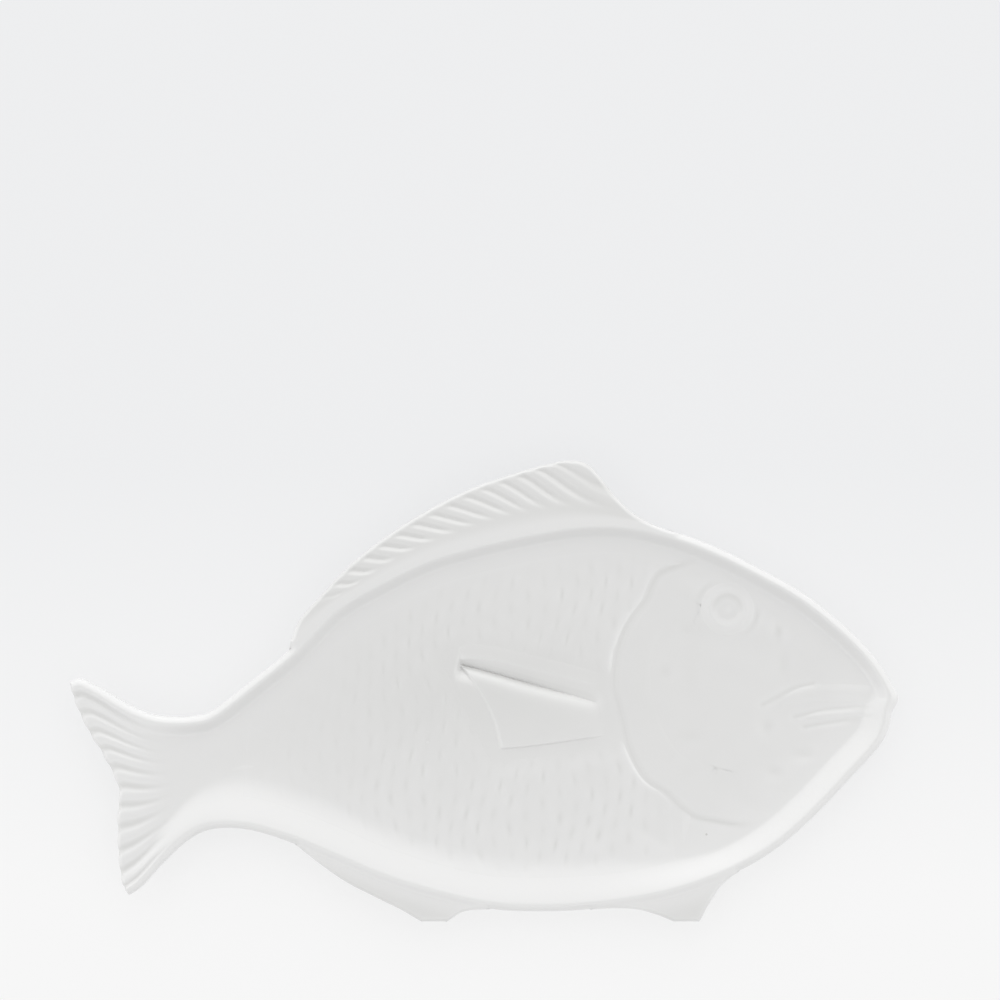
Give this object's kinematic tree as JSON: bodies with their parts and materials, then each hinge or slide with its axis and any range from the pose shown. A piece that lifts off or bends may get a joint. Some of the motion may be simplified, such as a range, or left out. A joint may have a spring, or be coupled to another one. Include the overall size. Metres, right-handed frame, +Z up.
{
  "type": "fish shaped platter",
  "caption": "Fish shaped ceramic serving platter with a shallow well, rounded lip, ribbed fins and tail, and scales, gill and eye in relief.",
  "frame": {"origin": "centre of the platter's plan, on the surface that the foot ring rests on", "axes": "+X from the tail to the snout, +Y from the lower fins to the dorsal fin, +Z up out of the well"},
  "size_m": [0.33, 0.184, 0.016],
  "materials": {
    "glaze": "soft glossy off-white glaze",
    "bare_clay": "unglazed, wiped foot"
  },
  "bodies": {
    "root": {"well_floor": "glaze", "side_wall": "glaze", "foot_ring": "bare_clay", "dorsal_fin": "glaze", "tail_fin": "glaze", "anal_fin": "glaze", "pelvic_fin": "glaze", "pectoral_fin": "glaze", "eye": "glaze", "gill_cover": "glaze", "lips": "glaze", "lateral_line": "glaze", "scales": "glaze"}
  },
  "joints": []
}
